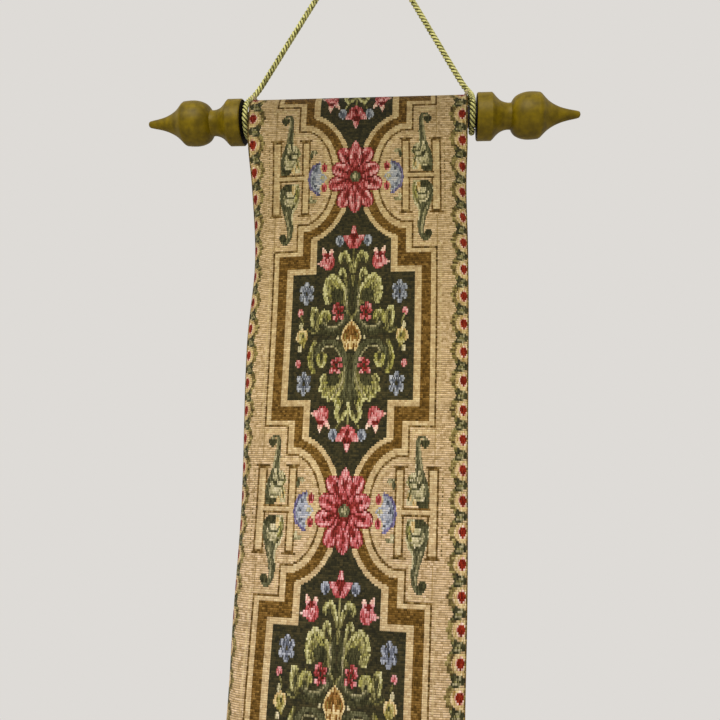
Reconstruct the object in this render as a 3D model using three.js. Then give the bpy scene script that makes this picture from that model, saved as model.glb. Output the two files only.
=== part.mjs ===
// A tapestry bell pull: a long woven band folded over a wooden rod, a turned finial on each end of
// the rod, and a twisted cord that goes once round each end of the rod and up to a wall hook.
// Millimetres, +Z up. The front of the band faces -Y and +X is to the viewer's right. The origin is
// where the cord bears on the hook: the underside of the cord at the top of its loop.
import * as THREE from 'three';

// Driving sizes.
const BAND_WIDTH = 120;
const CLOTH = 1.4; // thickness of the woven cloth
const GAP = 0.3; // clearance between pieces that touch
const BAND_DROP = 795; // from the rod's axis down to the hem's fold
const HEM_DEPTH = 16;
const CASING_TAIL = 36; // how far below the rod's axis the casing's back layer is sewn down
const CASING_MEETS = 24; // where that layer reaches the front layer

const DOWEL_RADIUS = 10.1;
const DOWEL_HALF = 59.6; // half the length of the full-width part of the rod
const NECK_RADIUS = 5.7; // the rod is turned down where the cord goes round it
const COLLAR_FACE = 65.5; // from the middle of the rod to a finial's inner face
const COLLAR_RADIUS = 12.9;

const CORD_DIAMETER = 3.4;
const LOOP_RISE = 120.8; // from the rod's axis up to the middle of the cord at its top

const ROD_Z = CORD_DIAMETER / 2 - LOOP_RISE;
const WRAP_RADIUS = DOWEL_RADIUS + GAP + CLOTH / 2; // middle of the cloth round the rod
const LAYER = CLOTH + GAP; // from one layer of folded cloth to the next

// How the band hangs, by its distance below the rod's axis: it turns a little about the vertical,
// drifts sideways, and both its borders roll backwards.
const HANG = [
  // below (mm), turn (deg), drift (mm), roll of the left and right borders (deg), bow (mm)
  { below: 0, turn: 0, drift: 0, left: 0, right: 0, bow: 0 },
  { below: 12, turn: 0, drift: 0, left: 4, right: 6, bow: 0 },
  { below: 40, turn: 2.2, drift: 0.6, left: 44, right: 46, bow: 1.0 },
  { below: 82, turn: 4.4, drift: 0.9, left: 70, right: 44, bow: 1.3 },
  { below: 130, turn: 6.0, drift: 1.0, left: 50, right: 40, bow: 1.1 },
  { below: 215, turn: 7.1, drift: 0.2, left: 68, right: 46, bow: 1.2 },
  { below: 265, turn: 6.8, drift: -0.7, left: 76, right: 34, bow: 1.0 },
  { below: 305, turn: 6.0, drift: -1.7, left: 90, right: 28, bow: 1.0 },
  { below: 400, turn: 4.0, drift: -3.0, left: 72, right: 36, bow: 1.2 },
  { below: 520, turn: 1.2, drift: -3.4, left: 54, right: 50, bow: 1.3 },
  { below: 650, turn: -1.6, drift: -2.6, left: 58, right: 60, bow: 1.2 },
  { below: 795, turn: -3.4, drift: -1.2, left: 34, right: 30, bow: 0.8 },
];
const FLAT_HALF = 44; // the borders roll outside this distance from the middle

// A value of the table above at one height, by a smooth curve through its rows.
function hangAt(column, below) {
  const last = HANG.length - 2;
  let i = 0;
  while (i < last && below > HANG[i + 1].below) i += 1;
  const [a, b] = [HANG[i], HANG[i + 1]];
  const before = HANG[Math.max(i - 1, 0)];
  const after = HANG[Math.min(i + 2, HANG.length - 1)];
  const span = b.below - a.below;
  const slopeA = (b[column] - before[column]) / (b.below - before.below);
  const slopeB = (after[column] - a[column]) / (after.below - a.below);
  const t = THREE.MathUtils.clamp((below - a.below) / span, 0, 1);
  const [t2, t3] = [t * t, t * t * t];
  return (2 * t3 - 3 * t2 + 1) * a[column] + (t3 - 2 * t2 + t) * span * slopeA
    + (3 * t2 - 2 * t3) * b[column] + (t3 - t2) * span * slopeB;
}

// Where a point of the band lies: across is its place on the flat width, behind is its distance
// back from the middle of the front layer, and below is its distance under the rod's axis.
function placeOnBand(across, behind, below) {
  const height = ROD_Z - below;
  if (below <= 0) return new THREE.Vector3(across, behind - WRAP_RADIUS, height);
  const side = Math.sign(across);
  const roll = THREE.MathUtils.degToRad(hangAt(side < 0 ? 'left' : 'right', below));
  const border = BAND_WIDTH / 2 - FLAT_HALF;
  const inRoll = Math.max(Math.abs(across) - FLAT_HALF, 0);
  const angle = roll * inRoll / border; // the cloth's own slope at this point
  const bend = border / Math.max(roll, 1e-3); // radius of the rolled border
  const flat = Math.min(Math.abs(across), FLAT_HALF);
  const out = flat + bend * Math.sin(angle) - behind * Math.sin(angle);
  const bowed = hangAt('bow', below) * (flat / FLAT_HALF) ** 2;
  const back = bowed + bend * (1 - Math.cos(angle)) + behind * Math.cos(angle);
  const turn = THREE.MathUtils.degToRad(hangAt('turn', below));
  const x = side * out * Math.cos(turn) + back * Math.sin(turn) + hangAt('drift', below);
  const y = back * Math.cos(turn) - side * out * Math.sin(turn) - WRAP_RADIUS;
  return new THREE.Vector3(x, y, height);
}

// The band seen from its edge, as the middle line of the cloth from the hem, up the front, over
// the rod and down to the end of the casing. Each point is how far it lies behind the front
// layer, how far below the rod's axis, and which way its outer face looks.
function bandSection() {
  const points = [];
  const add = (behind, below, lookBehind, lookBelow) => {
    points.push({ behind, below, lookBehind, lookBelow });
  };
  const hemRadius = LAYER / 2;
  const hemTurns = 6;
  add(LAYER, BAND_DROP - HEM_DEPTH, 1, 0);
  for (let i = 0; i <= hemTurns; i += 1) {
    const a = Math.PI * i / hemTurns;
    const [s, c] = [Math.sin(a), Math.cos(a)];
    add(hemRadius * (1 + c), BAND_DROP - hemRadius * (1 - s), c, s);
  }
  const rows = 58;
  for (let i = 1; i < rows; i += 1) {
    add(0, (BAND_DROP - hemRadius) * (1 - i / rows), -1, 0);
  }
  // Over the rod, then straight down and forward to meet the front layer.
  const meet = new THREE.Vector2(LAYER - WRAP_RADIUS, -CASING_MEETS);
  const tangent = meet.angle() - 2 * Math.PI + Math.acos(WRAP_RADIUS / meet.length());
  const arcSteps = 28;
  for (let i = 0; i <= arcSteps; i += 1) {
    const a = Math.PI + (tangent - Math.PI) * i / arcSteps;
    const [c, s] = [Math.cos(a), Math.sin(a)];
    add(WRAP_RADIUS * (1 + c), -WRAP_RADIUS * s, c, -s);
  }
  const leave = new THREE.Vector2(Math.cos(tangent), Math.sin(tangent));
  const way = meet.clone().sub(leave.clone().multiplyScalar(WRAP_RADIUS)).normalize();
  const slope = Math.atan2(-way.x, -way.y); // how far the layer leans from the vertical
  const ease = 6; // radius of the bend where it turns down beside the front layer
  const start = meet.clone().addScaledVector(way, -ease * Math.tan(slope / 2));
  const centre = start.clone().addScaledVector(new THREE.Vector2(-way.y, way.x), ease);
  const easeSteps = 5;
  for (let i = 0; i <= easeSteps; i += 1) {
    const a = slope * (1 - i / easeSteps);
    const p = new THREE.Vector2(-Math.cos(a), Math.sin(a)).multiplyScalar(ease).add(centre);
    add(p.x + WRAP_RADIUS, -p.y, Math.cos(a), Math.sin(a));
  }
  add(LAYER, CASING_TAIL, 1, 0);
  return points;
}

// One closed sheet: its outer and inner faces are half the cloth's thickness from the section.
function bandGeometry() {
  const section = bandSection();
  const columns = [-60, -56.5, -52.5, -48.5, -44, -30, -15, 0, 15, 30, 44, 48.5, 52.5, 56.5, 60];
  const positions = [];
  for (const half of [CLOTH / 2, -CLOTH / 2]) {
    for (const point of section) {
      for (const across of columns) {
        const behind = point.behind + half * point.lookBehind;
        const below = point.below + half * point.lookBelow;
        positions.push(...placeOnBand(across, behind, below).toArray());
      }
    }
  }
  const index = [];
  const face = section.length * columns.length;
  const at = (side, row, column) => side * face + row * columns.length + column;
  const quad = (a, b, c, d) => index.push(a, b, c, a, c, d);
  const [lastRow, lastColumn] = [section.length - 1, columns.length - 1];
  for (let r = 0; r < lastRow; r += 1) {
    for (let c = 0; c < lastColumn; c += 1) {
      quad(at(0, r, c), at(0, r, c + 1), at(0, r + 1, c + 1), at(0, r + 1, c));
      quad(at(1, r, c), at(1, r + 1, c), at(1, r + 1, c + 1), at(1, r, c + 1));
    }
    quad(at(0, r, 0), at(0, r + 1, 0), at(1, r + 1, 0), at(1, r, 0));
    quad(at(0, r, lastColumn), at(1, r, lastColumn), at(1, r + 1, lastColumn), at(0, r + 1, lastColumn));
  }
  for (let c = 0; c < lastColumn; c += 1) {
    quad(at(0, 0, c), at(1, 0, c), at(1, 0, c + 1), at(0, 0, c + 1));
    quad(at(0, lastRow, c), at(0, lastRow, c + 1), at(1, lastRow, c + 1), at(1, lastRow, c));
  }
  const geometry = new THREE.BufferGeometry();
  geometry.setAttribute('position', new THREE.Float32BufferAttribute(positions, 3));
  geometry.setIndex(index);
  geometry.computeVertexNormals();
  return geometry;
}

// A turned piece: its profile is in pairs of radius and distance along the rod's axis.
function turned(profile) {
  const points = profile.map(([radius, along]) => new THREE.Vector2(radius, along));
  return new THREE.LatheGeometry(points, 32);
}

function rodGeometry() {
  const end = COLLAR_FACE - GAP;
  const chamfer = 0.6;
  return turned([
    [0, -end], [NECK_RADIUS, -end], [NECK_RADIUS, -DOWEL_HALF],
    [DOWEL_RADIUS - chamfer, -DOWEL_HALF], [DOWEL_RADIUS, chamfer - DOWEL_HALF],
    [DOWEL_RADIUS, DOWEL_HALF - chamfer], [DOWEL_RADIUS - chamfer, DOWEL_HALF],
    [NECK_RADIUS, DOWEL_HALF], [NECK_RADIUS, end], [0, end],
  ]);
}

// A finial from its flat inner face out to its tip: a collar, a cove, a waist, a ball that ends in
// a sharp shoulder, and a hollow taper to a small rounded tip.
function finialGeometry() {
  return turned([
    [0, 0], [COLLAR_RADIUS - 0.5, 0], [COLLAR_RADIUS, 0.5], [COLLAR_RADIUS, 8.0],
    [12.2, 8.8], [10.2, 10.6], [8.5, 12.6], [7.5, 14.8], [7.1, 17.0], [7.2, 18.6],
    [8.8, 19.4], [10.5, 21.0], [11.8, 23.6], [12.5, 26.6], [12.6, 30.0], [12.3, 33.6],
    [11.6, 34.7], [9.6, 36.6], [7.6, 38.8], [5.8, 41.6], [4.1, 45.4], [2.9, 49.8],
    [2.1, 53.8], [1.5, 55.5], [0, 56.1],
  ]);
}

// The middle of the cord from its end at the left, which is bound to the rising run, once round the
// rod's left neck and up to the top of the loop. Each row is across, forward of the rod's axis, and
// above it.
const CORD_LEFT = [
  [-60.8, -4.2, 15.6], [-61.9, -5.0, 12.4], [-62.6, -6.2, 9.4], [-63.0, -7.5, 6.0],
  [-63.0, -8.2, 2.6], [-63.0, -8.1, -1.4], [-63.0, -6.7, -4.8], [-63.0, -3.9, -7.2],
  [-63.0, -0.3, -8.2], [-63.0, 3.4, -7.5], [-63.0, 6.4, -5.2], [-63.0, 8.1, -1.8],
  [-63.0, 8.3, 2.1], [-63.0, 7.1, 5.9], [-62.8, 5.0, 9.2], [-62.1, 2.7, 12.4],
  [-60.8, 0.9, 15.4], [-58.7, 0.2, 18.9], [-55.6, 0.0, 24.5], [-44.0, 0.0, 46.6],
  [-28.0, 0.0, 77.0], [-13.0, 0.0, 105.5], [-9.3, 0.0, 112.5], [-7.26, 0.0, 116.4],
  [-5.49, 0.0, 118.7], [-2.94, 0.0, 120.3],
];

function cordGeometry() {
  const place = ([across, forward, above]) => new THREE.Vector3(across, -forward, above + ROD_Z);
  const left = CORD_LEFT.map(place);
  const top = place([0, 0, LOOP_RISE]);
  const right = left.map((p) => new THREE.Vector3(-p.x, p.y, p.z)).reverse();
  const path = new THREE.CatmullRomCurve3([...left, top, ...right], false, 'centripetal');
  path.arcLengthDivisions = 2000;
  const section = new THREE.Shape();
  section.absarc(0, 0, CORD_DIAMETER / 2, 0, 2 * Math.PI);
  return new THREE.ExtrudeGeometry(section, { extrudePath: path, steps: 80, curveSegments: 8 });
}

function piece(name, geometry, color, roughness) {
  const material = new THREE.MeshStandardMaterial({ color, roughness, metalness: 0 });
  const mesh = new THREE.Mesh(geometry, material);
  mesh.name = name;
  return mesh;
}

const bellPull = new THREE.Group();
bellPull.add(piece('tapestry_band', bandGeometry(), 0xb59a6c, 0.95));

// The rod and its finials are turned about Y, so each is laid along X on the rod's axis.
function layAlongX(mesh, side, x) {
  mesh.rotation.z = -side * Math.PI / 2;
  mesh.position.set(x, 0, ROD_Z);
  return mesh;
}
bellPull.add(layAlongX(piece('hanging_rod', rodGeometry(), 0x2a2018, 0.7), 1, 0));
for (const [name, side] of [['finial_left', -1], ['finial_right', 1]]) {
  bellPull.add(layAlongX(piece(name, finialGeometry(), 0x80762e, 0.5), side, side * COLLAR_FACE));
}
bellPull.add(piece('hanging_cord', cordGeometry(), 0x9c9440, 0.5));

export default bellPull;
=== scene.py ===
# %% [markdown]
# # A tapestry bell pull
# A long woven band hangs from a turned wooden rod by a twisted cord. This lesson makes its looks
# over the part's fixed frame: the camera first, then the cord, the pattern, the cloth, the
# woodwork, the sewing, and at last the light.

# %% Tools and the fixed frame
import math

import bmesh
import bpy
import numpy as np
from mathutils import Euler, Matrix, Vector


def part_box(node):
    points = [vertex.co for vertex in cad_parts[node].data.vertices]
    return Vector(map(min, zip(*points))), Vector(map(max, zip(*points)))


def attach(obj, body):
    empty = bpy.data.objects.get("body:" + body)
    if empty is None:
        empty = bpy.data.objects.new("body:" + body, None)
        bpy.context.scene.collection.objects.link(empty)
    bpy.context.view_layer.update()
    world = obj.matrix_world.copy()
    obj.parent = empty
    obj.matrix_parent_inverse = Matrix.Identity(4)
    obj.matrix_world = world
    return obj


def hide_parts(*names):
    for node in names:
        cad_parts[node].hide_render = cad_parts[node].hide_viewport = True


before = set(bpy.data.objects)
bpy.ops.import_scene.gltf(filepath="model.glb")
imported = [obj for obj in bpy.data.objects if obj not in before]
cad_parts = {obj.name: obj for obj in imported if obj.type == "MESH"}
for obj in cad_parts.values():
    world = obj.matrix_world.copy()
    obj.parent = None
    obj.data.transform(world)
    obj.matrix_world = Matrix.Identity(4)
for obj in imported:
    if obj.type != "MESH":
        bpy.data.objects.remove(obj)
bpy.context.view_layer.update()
MM = 0.001
rod_low, rod_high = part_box("hanging_rod")
ROD_Z = (rod_low.z + rod_high.z) / 2 / MM
print("pieces in the frame:", sorted(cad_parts))
print("the rod's axis is at %.1f mm" % ROD_Z)

# %% [markdown]
# ## The camera
# A camera in Blender looks down its own -Z. It stands lower than the rod and is tilted up at it,
# swung a little to one side, and rolled by under two degrees, as a camera held by hand is. The
# lens is in millimetres on a sensor 36 mm wide.

# %% Camera
camera = bpy.data.objects.new("camera", bpy.data.cameras.new("camera"))
bpy.context.scene.collection.objects.link(camera)
RIGHT_OF_ROD, IN_FRONT, BELOW_ROD = 40.64, 364.91, 214.03  # millimetres from the rod's middle
SWING, TILT_UP, ROLL = 5.63, 11.761, 1.624  # degrees
camera.location = Vector((RIGHT_OF_ROD, -IN_FRONT, ROD_Z - BELOW_ROD)) * MM
swing = Euler((0, 0, math.radians(SWING))).to_matrix()
tilt = Euler((math.radians(90 + TILT_UP), 0, 0)).to_matrix()
roll = Euler((0, 0, math.radians(ROLL))).to_matrix()
camera.rotation_euler = (swing @ tilt @ roll).to_euler()
camera.data.lens = 35.91
camera.data.clip_start = 0.01
bpy.context.scene.camera = camera
print("camera at", [round(v, 3) for v in camera.location])

# %% [markdown]
# ## Helpers
# Every finished piece is left at the origin with its place in its mesh, so a pattern on Object
# coordinates is in true metres. One function makes a piece from a bmesh, one adds a thin round
# strand to a bmesh, one turns a screen colour into the linear light that shaders work in, and one
# adds a node with its settings and links.

# %% Helpers for pieces and colours
def piece(name, made, materials=()):
    """A smooth-shaded object at the origin, made from a bmesh that it uses up."""
    mesh = bpy.data.meshes.new(name)
    made.to_mesh(mesh)
    made.free()
    for face in mesh.polygons:
        face.use_smooth = True
    for material in materials:
        mesh.materials.append(material)
    obj = bpy.data.objects.new(name, mesh)
    bpy.context.scene.collection.objects.link(obj)
    return obj


def add_strand(made, line, radius, roundness):
    """Adds a round strand along a line, as a bevelled curve that is turned into a mesh."""
    curve = bpy.data.curves.new("strand", "CURVE")
    curve.dimensions, curve.use_fill_caps = "3D", True
    curve.bevel_depth, curve.bevel_resolution = radius * MM, roundness
    spline = curve.splines.new("POLY")
    spline.points.add(len(line) - 1)
    spline.points.foreach_set("co", np.c_[line * MM, np.ones(len(line))].ravel())
    holder = bpy.data.objects.new("strand", curve)
    tube = bpy.data.meshes.new_from_object(holder)
    made.from_mesh(tube)
    bpy.data.objects.remove(holder)
    bpy.data.meshes.remove(tube)
    bpy.data.curves.remove(curve)


def colour(hex_value):
    """A screen colour such as #c8a878, as linear red, green, blue and 1."""
    parts = [int(hex_value[i:i + 2], 16) / 255 for i in (1, 3, 5)]
    return [c / 12.92 if c <= 0.04045 else ((c + 0.055) / 1.055) ** 2.4 for c in parts] + [1.0]


print("#c8a878 in linear light:", [round(c, 3) for c in colour("#c8a878")])

# %% Helpers for materials
def new_material(name, roughness, specular=0.5):
    """A material with no pattern yet. Returns it with its shader."""
    material = bpy.data.materials.new(name)
    material.use_nodes = True
    shader = material.node_tree.nodes["Principled BSDF"]
    shader.inputs["Roughness"].default_value = roughness
    shader.inputs["Specular IOR Level"].default_value = specular
    return material, shader


def node(tree_owner, kind, inputs=None, stops=(), **settings):
    """Adds a node. A value that is an output is linked, and any other value is set. The stops of
    a ramp are pairs of place and colour."""
    tree = tree_owner.node_tree
    added = tree.nodes.new("ShaderNode" + kind)
    for name, value in settings.items():
        setattr(added, name, value)
    for name, value in (inputs or {}).items():
        if isinstance(value, bpy.types.NodeSocket):
            tree.links.new(value, added.inputs[name])
        else:
            added.inputs[name].default_value = value
    for i, (at, tone) in enumerate(stops):
        stop = added.color_ramp.elements[i] if i < 2 else added.color_ramp.elements.new(at)
        stop.position, stop.color = at, colour(tone)
    return added


def wire(tree_owner, output, socket):
    tree_owner.node_tree.links.new(output, socket)


print("material helpers ready")

# %% [markdown]
# ## The cord's way
# The cord is taut, so it has no coil and no sag: it goes round the rod's left neck, rises to the
# hook, and comes down round the right neck. Its two ends are bound to the rising runs just above
# the necks. The rows below are across, forward of the rod's axis and above it, in millimetres.

# %% The cord's route
CORD_DIAMETER = 3.4
HALF_ROUTE = [
    (-60.8, -4.2, 15.6), (-61.9, -5.0, 12.4), (-62.6, -6.2, 9.4), (-63.0, -7.5, 6.0),
    (-63.0, -8.2, 2.6), (-63.0, -8.1, -1.4), (-63.0, -6.7, -4.8), (-63.0, -3.9, -7.2),
    (-63.0, -0.3, -8.2), (-63.0, 3.4, -7.5), (-63.0, 6.4, -5.2), (-63.0, 8.1, -1.8),
    (-63.0, 8.3, 2.1), (-63.0, 7.1, 5.9), (-62.8, 5.0, 9.2), (-62.1, 2.7, 12.4),
    (-60.8, 0.9, 15.4), (-58.7, 0.2, 18.9), (-55.6, 0.0, 24.5), (-44.0, 0.0, 46.6),
    (-28.0, 0.0, 77.0), (-13.0, 0.0, 105.5), (-9.3, 0.0, 112.5), (-7.26, 0.0, 116.4),
    (-5.49, 0.0, 118.7), (-2.94, 0.0, 120.3),
]
route = [Vector((x, -y, z + ROD_Z)) for x, y, z in HALF_ROUTE]
route += [Vector((0, 0, 120.8 + ROD_Z))]
route += [Vector((-p.x, p.y, p.z)) for p in reversed(route[:-1])]
print("route points:", len(route))


# %% A smooth line through points
def smooth_line(points, spacing):
    """Centripetal Catmull-Rom through the points, then walked in equal steps."""
    pts = [np.array(p, float) for p in points]
    pts = [2 * pts[0] - pts[1]] + pts + [2 * pts[-1] - pts[-2]]
    fine = []
    for p0, p1, p2, p3 in zip(pts, pts[1:], pts[2:], pts[3:]):
        d0, d1, d2 = (max(np.linalg.norm(b - a) ** 0.5, 1e-4)
                      for a, b in ((p0, p1), (p1, p2), (p2, p3)))
        m1 = ((p1 - p0) / d0 - (p2 - p0) / (d0 + d1) + (p2 - p1) / d1) * d1
        m2 = ((p2 - p1) / d1 - (p3 - p1) / (d1 + d2) + (p3 - p2) / d2) * d1
        t = np.linspace(0, 1, 24, endpoint=False)[:, None]
        fine.append((2 * t**3 - 3 * t**2 + 1) * p1 + (t**3 - 2 * t**2 + t) * m1
                    + (3 * t**2 - 2 * t**3) * p2 + (t**3 - t**2) * m2)
    fine = np.vstack(fine + [pts[-2][None]])
    run = np.r_[0, np.cumsum(np.linalg.norm(np.diff(fine, axis=0), axis=1))]
    steps = np.linspace(0, run[-1], max(2, int(round(run[-1] / spacing)) + 1))
    return np.stack([np.interp(steps, run, fine[:, k]) for k in range(fine.shape[1])], axis=1)


cord_line = smooth_line(route, 0.6)
cord_length = np.linalg.norm(np.diff(cord_line, axis=0), axis=1).sum()
print("cord length %.0f mm in %d points" % (cord_length, len(cord_line)))

# %% [markdown]
# ## The cord
# The real cord is three rayon strands twisted together, and each strand is itself a smooth bundle.
# A plain tube with a striped bump looks painted, so the strands are modelled: three thin tubes
# that wind round the route, each made as a curve with a round bevel and turned into a mesh. The
# valleys between them are also painted darker, a painted shade, as hardly any light reaches into a
# real cord.

# %% Frames along the route, carried forward without twisting
along = np.gradient(cord_line, axis=0)
along /= np.linalg.norm(along, axis=1)[:, None]
side = np.cross(along[0], (0.0, 1.0, 0.0))
side /= np.linalg.norm(side)
sides = []
for direction in along:
    side = side - direction * side.dot(direction)
    side /= np.linalg.norm(side)
    sides.append(side)
sides = np.array(sides)
ups = np.cross(along, sides)
print("frames:", len(sides))

# %% Three strands as one mesh
LAY = 7.4  # length of one full turn of a strand, in millimetres
STRAND = 0.74  # a strand's radius
WINDING = CORD_DIAMETER / 2 - STRAND
run = np.arange(len(cord_line)) * cord_length / (len(cord_line) - 1)
rope = bmesh.new()
for strand in range(3):
    angle = -(run / LAY + strand / 3) * 2 * math.pi
    line = cord_line + WINDING * (np.cos(angle)[:, None] * sides + np.sin(angle)[:, None] * ups)
    add_strand(rope, line, STRAND, 2)
bmesh.ops.recalc_face_normals(rope, faces=rope.faces)
print("rope faces:", len(rope.faces))

# %% Cord finish: rayon, gold-green and lustrous; painted shade, nearly black, deep between strands
rayon, shader = new_material("twisted_rayon", roughness=0.42, specular=0.3)
place = node(rayon, "TexCoord")
# The fibres' marks are about 0.45 mm across, and the worn patches 2.4 mm.
fibres = node(rayon, "TexNoise", {"Vector": place.outputs["Object"], "Scale": 2200.0})
patches = node(rayon, "TexNoise", {"Vector": place.outputs["Object"], "Scale": 420.0})
mixed = node(rayon, "Math", {0: fibres.outputs[0], 1: patches.outputs[0]}, operation="ADD")
ramp = node(rayon, "ValToRGB", {"Fac": mixed.outputs[0]},
            stops=((0.84, "#69651f"), (1.0, "#d4ce7e")))
outward = node(rayon, "Attribute", attribute_name="outward")
shade = node(rayon, "MapRange", {"Value": outward.outputs["Fac"], "To Min": 0.04, "To Max": 1.0})
deepened = node(rayon, "VectorMath", {0: ramp.outputs[0], "Scale": shade.outputs[0]},
                operation="SCALE")
wire(rayon, deepened.outputs[0], shader.inputs["Base Color"])
lift = node(rayon, "Bump", {"Height": fibres.outputs[0], "Strength": 0.5, "Distance": 0.0001})
wire(rayon, lift.outputs[0], shader.inputs["Normal"])
cord = piece("twisted_cord", rope, [rayon])
spots = np.zeros(len(cord.data.vertices) * 3)
cord.data.vertices.foreach_get("co", spots)
spots = spots.reshape(-1, 3) / MM
from_middle = np.array([np.linalg.norm(cord_line - spot, axis=1).min() for spot in spots])
# Painted shade: the strands are drawn darker the nearer they lie to the cord's middle line.
DARK_WITHIN, LIT_FROM = 1.18, 1.65  # millimetres from the cord's middle
outwards = np.clip((from_middle - DARK_WITHIN) / (LIT_FROM - DARK_WITHIN), 0, 1)
cord.data.attributes.new("outward", "FLOAT", "POINT").data.foreach_set("value", outwards)
print("cord:", len(cord.data.polygons), "faces")

# %% [markdown]
# ## The pattern on point paper
# A weaver draws a pattern on squared paper: one column for each warp end and one line for each rib
# of weft. This band repeats every 168 ribs and is the same on both sides of its middle, so only
# half a repeat is drawn, 125 ends wide. Shapes are drawn in true millimetres from a few helpers,
# and each one fills its squares with the number of a yarn. A painted picture would smooth over the
# small steps that tell the eye that a pattern is woven.

# %% The paper
STITCH, RIB = 0.48, 1.04  # millimetres for one warp end and one rib
ENDS, RIBS = 125, 168
REPEAT = RIBS * RIB
out, down = np.meshgrid((np.arange(ENDS) + 0.5) * STITCH, (np.arange(RIBS) + 0.5) * RIB)
paper = np.zeros((RIBS, ENDS), int)
home = 0.0  # the height that drawing is measured from: 0 is the middle of a rose
print("the repeat is %.1f mm" % REPEAT)

# %% The yarns: each one's shades from dark to light, its groove's depth, and which way it dashes
YARNS = {
    "ground": ("#967b50 #aa8f62 #b69b6f #bda175 #c4a87d #cdb28a", 0.95, "long"),
    "cream": ("#a2875a #b2976a #bba171 #c3ab79 #cdb688", 0.45, "long"),
    "brown": ("#45300d #573e13 #65491a #725323 #84652f", 0.60, "long"),
    "field": ("#252316 #2f2c19 #39341e #433b21", 0.35, "long"),
    "line": ("#40300e #584018 #6f5326 #927a4a", 0.50, "long"),
    "faint": ("#8a7040 #a58a58", 0.60, "long"),
    "rose_deep": ("#3c140a #581a10 #70211a #8c332c", 0.35, "tall"),
    "rose": ("#5c1d14 #86302a #a24340 #b65957 #cc8480", 0.35, "tall"),
    "rose_light": ("#8c3a34 #b0605c #c47b76 #d49a93 #e0b4aa", 0.35, "tall"),
    "pale_pink": ("#b07c68 #cf9d88 #e0bda4 #ecd2ba", 0.35, "tall"),
    "leaf_light": ("#504c25 #90894d #aaa468 #bab379 #cdc594", 0.35, "tall"),
    "lime": ("#4a4919 #757032 #8e8741 #a7a058 #c1b878", 0.35, "tall"),
    "leaf": ("#2f2d15 #504a25 #6c6537 #827b49 #9c945f", 0.35, "tall"),
    "leaf_deep": ("#242313 #32301a #413f25 #4f4b2c", 0.35, "tall"),
    "blue_light": ("#424549 #73767b #95989a #b3b4b4", 0.35, "tall"),
    "blue": ("#292b2f #42454a #5b5e64 #777a80", 0.35, "tall"),
    "sky": ("#7b7d84 #96989c #aaaaa8 #bcb5aa", 0.60, "long"),
    "violet": ("#352f42 #4e475f #675f7c #857d97", 0.35, "tall"),
    "straw": ("#94753b #ba9e65 #cdb47a #dac594", 0.40, "tall"),
    "gold": ("#51491b #776b30 #948642 #a89c5a #b9ae7a", 0.35, "tall"),
    "russet": ("#4e3210 #6e491c #845b28 #9a723a", 0.35, "tall"),
    "sage_light": ("#716a47 #999165 #afa477 #c0b48a #d2c49d", 0.45, "tall"),
    "sage": ("#4a462b #696340 #807852 #968d65 #aea37b", 0.45, "tall"),
    "sage_deep": ("#31301b #434127 #555336 #6b6746", 0.40, "tall"),
    "scallop": ("#43361a #66562c #84743f #a4935c", 0.50, "long"),
    "ruby": ("#521004 #701a06 #862510 #963318", 0.35, "tall"),
}
yarn_number = {name: i for i, name in enumerate(YARNS)}
print(len(YARNS), "yarns")


# %% Drawing helpers: each one fills the squares that its shape covers
def rows_from(y):
    """How far each line of the paper is below y, taken the short way round the repeat."""
    return (down - home - y + REPEAT / 2) % REPEAT - REPEAT / 2


def fill(shape, yarn):
    paper[shape] = yarn_number[yarn]


def oval(yarn, x, y, half_wide, half_tall, lean=0.0):
    dx, dy = out - x, rows_from(y)
    c, s = math.cos(math.radians(lean)), math.sin(math.radians(lean))
    fill(((dx * c + dy * s) / half_wide) ** 2 + ((dy * c - dx * s) / half_tall) ** 2 <= 1, yarn)


def area(yarn, corners):
    """Everything inside a ring of corners, counted by how often a level ray crosses it."""
    centre_y = sum(y for _, y in corners) / len(corners)
    dy = rows_from(centre_y) + centre_y
    inside = np.zeros(paper.shape, bool)
    for (x0, y0), (x1, y1) in zip(corners, corners[1:] + corners[:1]):
        if y0 != y1:
            crosses = (dy < y0) != (dy < y1)
            inside ^= crosses & (out < x0 + (dy - y0) * (x1 - x0) / (y1 - y0))
    fill(inside, yarn)


def stroke(yarn, points, start, end=None, lobes=0.0):
    """A smooth line through the points, whose width goes from start to end. Lobes make it swell
    and shrink every 2.6 mm, as the frilled edge of a leaf does."""
    end = start if end is None else end
    line = smooth_line([(x, y, 0.0) for x, y in points], 0.3)
    shape = np.zeros(paper.shape, bool)
    for i, (x, y, _) in enumerate(line):
        half = (start + (end - start) * i / (len(line) - 1)) / 2
        half *= 1 + lobes * (abs(math.sin(math.pi * i * 0.3 / 2.6)) - 0.5)
        shape |= (out - x) ** 2 + (rows_from(y) * 0.9) ** 2 <= max(half, 0.3) ** 2
    fill(shape, yarn)


def blade(x, y, reach, wide, lean=0.0, full=0.5):
    """A petal or leaf from its base. lean 0 points up and 90 outwards; full is where it is widest.
    Gives how far each square is along it, and how far from its spine: 1 is the outline."""
    dx, dy = out - x, -rows_from(y)
    c, s = math.cos(math.radians(lean)), math.sin(math.radians(lean))
    t = np.clip((dx * s + dy * c) / reach, 1e-4, 1 - 1e-4)
    a, b = 1.4 * full, 1.4 * (1 - full)
    half = wide / 2 * t**a * (1 - t) ** b / (full**a * (1 - full) ** b)
    beside = np.abs(dx * c - dy * s)
    inside = (dx * s + dy * c > 0) & (dx * s + dy * c < reach)
    return t, np.where(inside, beside / np.maximum(half, 1e-3), 9.0)


print("helpers ready")

# %% [markdown]
# ## The strapwork
# Nested bands follow one outline: a tall cross-shaped panel whose waist is pinched by the rose.
# The same outline is drawn seven times, each time a little smaller and in another yarn, from the
# outside in: a thin cream line, the ground, a dark line, cream, brown, cream, and the dark field.


# %% The outline: two wings and a waist, and the oval that pinches them, in millimetres
WING_WIDE, WING_TALL, WAIST_WIDE = 32.4, 33.3, 19.8
PINCH_AT, PINCH_WIDE, PINCH_TALL = 28.0, 26.8, 37.4


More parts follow.
